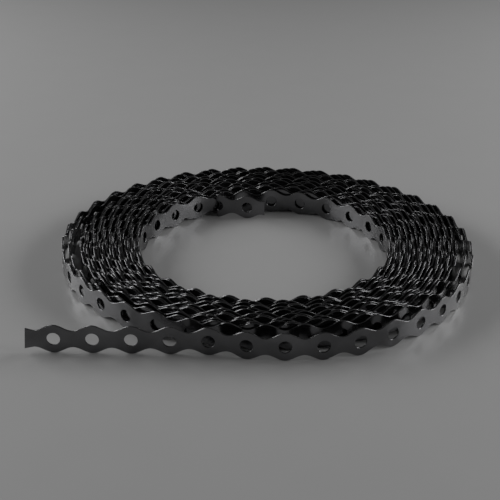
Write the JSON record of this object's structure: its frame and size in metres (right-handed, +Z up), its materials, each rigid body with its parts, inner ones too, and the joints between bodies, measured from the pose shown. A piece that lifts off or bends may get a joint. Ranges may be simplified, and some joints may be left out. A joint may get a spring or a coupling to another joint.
{
  "type": "steel fixing band",
  "caption": "Coil of perforated dark steel fixing band with wavy edges, lying flat, its outer end led off straight as a tail.",
  "frame": {"origin": "on the coil's axis, at the level the coil lies on, in the middle of the overall box", "axes": "+Z up along the coil's axis; -Y is the front, where the outer end leaves the coil; the tail runs straight towards -X"},
  "size_m": [0.1886, 0.1825, 0.012],
  "materials": {
    "dark_steel": "satin"
  },
  "bodies": {
    "root": {"fixing_band": "dark_steel"}
  },
  "joints": []
}
